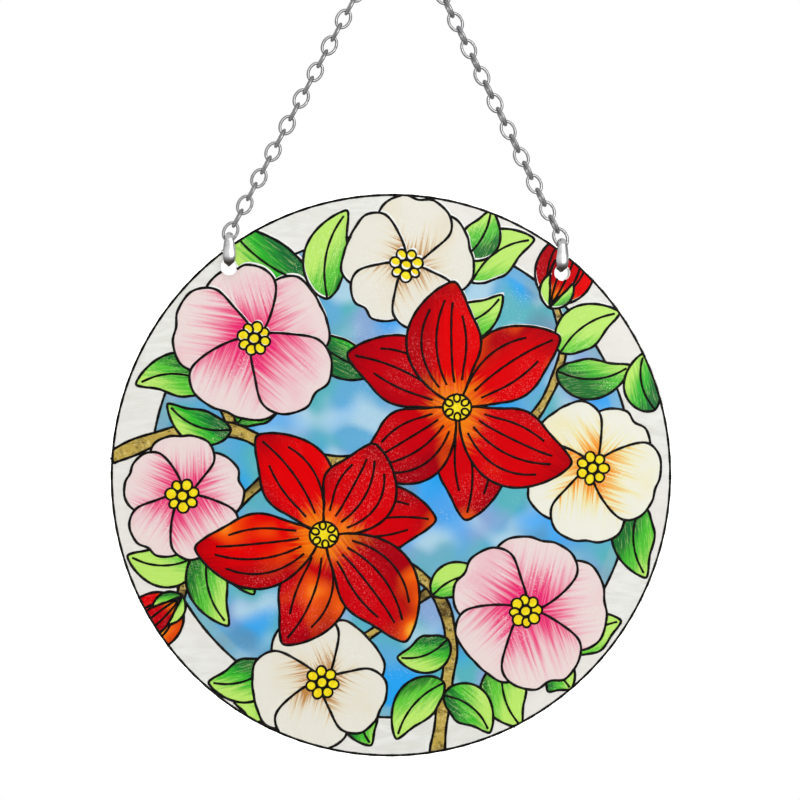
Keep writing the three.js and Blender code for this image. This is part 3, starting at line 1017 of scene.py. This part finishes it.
def slipped(point):
    """Where a point's colour is printed, up and right of its outline near the top; the white left beside the
    outline is also a painted highlight.
    """
    distance = float(np.interp(point[1], SLIP_HEIGHTS, SLIP_DISTANCES))
    return point[0] + SLIP_DIRECTION[0] * distance, point[1] + SLIP_DIRECTION[1] * distance


def cut_cells(shapes):
    """Corners of the cut picture, and its triangles with their shapes, by kind of enamel."""
    layers = [round_field("ring", ENAMEL_RADIUS, FILM_STEPS), *shapes]
    layers += [round_field(None, FILM_HOLE, FILM_HOLE_STEPS, hole) for hole in HOLES]
    outlines = [layer["outline"] for layer in layers]
    outlines += [[slipped(point) for point in one["outline"]] for one in shapes]
    verts, faces = [], []
    for outline in outlines:
        faces.append(list(range(len(verts), len(verts) + len(outline))))
        verts += [Vector(point) for point in outline]
    corners, _, triangles, _, _, origins = delaunay_2d_cdt(verts, [], faces, 1, 1e-5)
    cells = {}
    for triangle, origin in zip(triangles, origins):
        if 0 not in origin:
            continue
        top = max(number for number in origin if number < len(layers))
        printed = max((number - len(layers) + 1 for number in origin if number >= len(layers)), default=0)
        layer = layers[top]
        if layer["kind"]:
            # White where the colour slips off its outline: bare print ground and painted highlight beside the
            # raised line.
            kind = layer["kind"] if printed == top else "slip_and_glint"
            cells.setdefault(kind, []).append((triangle, layer))
    return corners, cells


def make_films(shapes, enamels):
    """The picture cut into cells, one piece of film for each kind of enamel."""
    corners, cells = cut_cells(shapes)
    for kind, members in cells.items():
        used = sorted({i for triangle, _ in members for i in triangle})
        number = {i: k for k, i in enumerate(used)}
        places = [on_panel(*corners[i], FILM_RISE) for i in used]
        faces = [[number[i] for i in triangle] for triangle, _ in members]
        film = add_piece(f"enamel_{kind}", places, faces, enamels[kind], smooth=False)
        values = film.data.attributes.new("cell", "FLOAT_VECTOR", "CORNER").data
        for polygon, (_, layer) in zip(film.data.polygons, members):
            c, s = unit(layer["angle"])
            for loop in polygon.loop_indices:
                x, _, z = film.data.vertices[film.data.loops[loop].vertex_index].co
                u = (x - PANEL_CENTRE.x) / MM - layer["base"][0]
                v = (z - PANEL_CENTRE.z) / MM - layer["base"][1]
                along = (u * c + v * s) / layer["length"]
                across = 2 * (v * c - u * s) / layer["width"]
                values[loop].vector = (along, across, layer["seed"] * SEED_STEP)


def make_glass():
    """The pane with eased edges and its two drilled holes."""
    rims = [(GLASS_RADIUS, -EDGE_BEVEL, PANE_STEPS, (0, 0))]
    rims += [(HOLE_RADIUS, HOLE_BEVEL, HOLE_STEPS, hole) for hole in HOLES]
    verts, faces, caps = [], [], []
    for radius, grow, count, centre in rims:
        first, bevel = len(verts), abs(grow)
        eased, cut = grow * BEVEL_EASE, bevel * BEVEL_EASE
        rings = [(grow, 0), (eased, -cut), (0, -bevel), (0, bevel - GLASS_THICKNESS),
                 (eased, cut - GLASS_THICKNESS), (grow, -GLASS_THICKNESS)]
        for change, rise in rings:
            verts += [on_panel(u, v, rise) for u, v in circle(radius + change, count, centre)]
        for ring in range(len(rings) - 1):
            quads = band(first + ring * count, first + (ring + 1) * count, count)
            faces += quads if grow > 0 else [quad[::-1] for quad in quads]
        caps.append((first, count))
    for ring, flip in ((0, False), (len(rings) - 1, True)):
        index = [first + ring * count + k for first, count in caps for k in range(count)]
        flat = [Vector((verts[i][0] / MM, verts[i][2] / MM)) for i in index]
        outlines, start = [], 0
        for _, count in caps:
            outlines.append(list(range(start, start + count)))
            start += count
        _, _, triangles, _, _, origins = delaunay_2d_cdt(flat, [], outlines, 1, 1e-6)
        for triangle, origin in zip(triangles, origins):
            if list(origin) == [0]:
                corners = [index[i] for i in triangle]
                faces.append(corners[::-1] if flip else corners)
    pane = add_piece("glass_pane", verts, faces, clear_glass(), sharp_degrees=18)
    pane.visible_shadow = False
    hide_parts("glass_panel")


def make_hole_walls(material):
    """The ground sleeves inside the two drilled holes."""
    outer, inner = HOLE_RADIUS - WALL_GAP, HOLE_RADIUS - WALL_GAP - WALL_SKIN
    front, back = -HOLE_BEVEL, HOLE_BEVEL - GLASS_THICKNESS
    rings = ((outer, front), (outer, back), (inner, back), (inner, front))
    verts, faces = [], []
    for hole in HOLES:
        first = len(verts)
        for radius, rise in rings:
            verts += [on_panel(u, v, rise) for u, v in circle(radius, HOLE_STEPS, hole)]
        for ring in range(len(rings)):
            after = (ring + 1) % len(rings)
            faces += band(first + ring * HOLE_STEPS, first + after * HOLE_STEPS, HOLE_STEPS)
    add_piece("drilled_hole_walls", verts, faces, material, sharp_degrees=40)


def make_links(material):
    """Smooth oval wire links, each in the place of its plain one."""
    half_long = (LINK_LENGTH - WIRE) / 2 * MM
    half_side = (LINK_WIDTH - WIRE) / 2 * MM
    wire = WIRE / 2 * MM
    for name in sorted(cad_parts):
        if not name.startswith("chain_link"):
            continue
        points = np.array([v.co[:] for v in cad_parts[name].data.vertices])
        centre = Vector((points.max(axis=0) + points.min(axis=0)) / 2)
        _, _, axes = np.linalg.svd(points - points.mean(axis=0))
        long_axis, side_axis, flat_axis = (Vector(axis) for axis in axes)
        verts, faces = [], []
        for i in range(LINK_STEPS):
            t = 2 * math.pi * i / LINK_STEPS
            c, s = unit(t)
            middle = centre + long_axis * half_long * c + side_axis * half_side * s
            out = (long_axis * half_side * c + side_axis * half_long * s).normalized()
            seam = 1 - SEAM_DEPTH * math.exp(-((t - math.pi / 2) / SEAM_SPREAD) ** 2)
            verts += [middle + (out * outwards + flat_axis * sideways) * wire * seam
                      for outwards, sideways in directions(WIRE_SIDES)]
            faces += band(i * WIRE_SIDES, (i + 1) % LINK_STEPS * WIRE_SIDES, WIRE_SIDES)
        if long_axis.cross(side_axis).dot(flat_axis) > 0:
            faces = [face[::-1] for face in faces]
        link = add_piece("wire_" + name, verts, faces, material)
        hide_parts(name)


def strip_faces(rows, columns):
    """Faces of a thick strip, from the grid of its outer corners and then that of its inner ones."""
    base = rows * columns
    faces = []
    for i in range(rows - 1):
        for j in range(columns - 1):
            a, b = i * columns + j, (i + 1) * columns + j
            faces.append((a, a + 1, b + 1, b))
            faces.append((base + a, base + b, base + b + 1, base + a + 1))
        a, b = i * columns, (i + 1) * columns
        faces.append((a, b, base + b, base + a))
        a, b = a + columns - 1, b + columns - 1
        faces.append((a, base + a, base + b, b))
    for j in range(columns - 1):
        faces.append((j, base + j, base + j + 1, j + 1))
        k = (rows - 1) * columns + j
        faces.append((k, k + 1, base + k + 1, base + k))
    return faces


def make_bail(word, side, material):
    """A strip bent over the pane, domed outside and thick at the fold, with a teardrop front."""
    leg = [(BAIL_LEG - way_in, height, 0) for way_in, height in BAIL_HOOK]
    leg += [(BAIL_LEG * share, height, fill) for share, height, fill in BAIL_FOLD]
    top = (0, BAIL_TOP - STRIP / 2, FOLD_FILL)
    middle = through([*leg, top, *[(-y, z, fill) for y, z, fill in reversed(leg)]], step=BAIL_STEP)
    halves, heights = zip(*through(BAIL_TEARDROP, step=TEARDROP_STEP))
    outer, inner = [], []
    for i, (y, z, fill) in enumerate(middle):
        turn = turn_at(middle, i)
        out_y, out_z = math.sin(turn), -math.cos(turn)
        half = float(np.interp(z, heights, halves))
        for j in range(BAIL_COLUMNS):
            share = 2 * j / (BAIL_COLUMNS - 1) - 1
            u = side * HOLE_X + share * half
            dome = STRIP / 2 - BAIL_DOME * share ** 2
            filled = fill * (1 - FOLD_ROUNDING * share ** 2)
            outer.append((u, y + out_y * dome, z + out_z * dome))
            inner.append((u, y - out_y * STRIP / 2, z - out_z * STRIP / 2 - filled))
    verts = [(u * MM, y * MM, PANEL_CENTRE.z + (HOLE_V + z) * MM) for u, y, z in outer + inner]
    faces = strip_faces(len(middle), BAIL_COLUMNS)
    piece = add_piece(f"pinch_bail_{word}", verts, faces, material, sharp_degrees=50)
    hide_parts(f"bail_{word}")


make_camera()
make_floor()
make_studio()

shapes = picture()
enamels = {
    "sky": sky_enamel(),
    "ring": ring_enamel(),
    "red": red_enamel(),
    "pink": pale_enamel("pink_enamel", srgb(236, 216, 214), srgb(238, 134, 166), srgb(236, 36, 112), 0.64),
    "cream": pale_enamel("cream_enamel", srgb(232, 228, 216), srgb(228, 212, 178), srgb(190, 132, 66), 0.38),
    "gold": pale_enamel("gold_enamel", srgb(238, 236, 222), srgb(241, 224, 100), srgb(246, 138, 34), 0.5),
    "leaf": leaf_enamel(),
    "stem": stem_enamel(),
    "bead": bead_enamel(),
    "slip_and_glint": slip_and_glint_enamel(),
}
make_glass()
make_films(shapes, enamels)
make_outlines(shapes)
make_hole_walls(ground_glass())
make_links(metal("chain_nickel", (0.43, 0.43, 0.44), 0.38))
bail_silver = metal("bail_silver", (0.78, 0.78, 0.79), 0.24, painted_tip_shade=True)
for word, side in (("left", -1), ("right", 1)):
    make_bail(word, side, bail_silver)
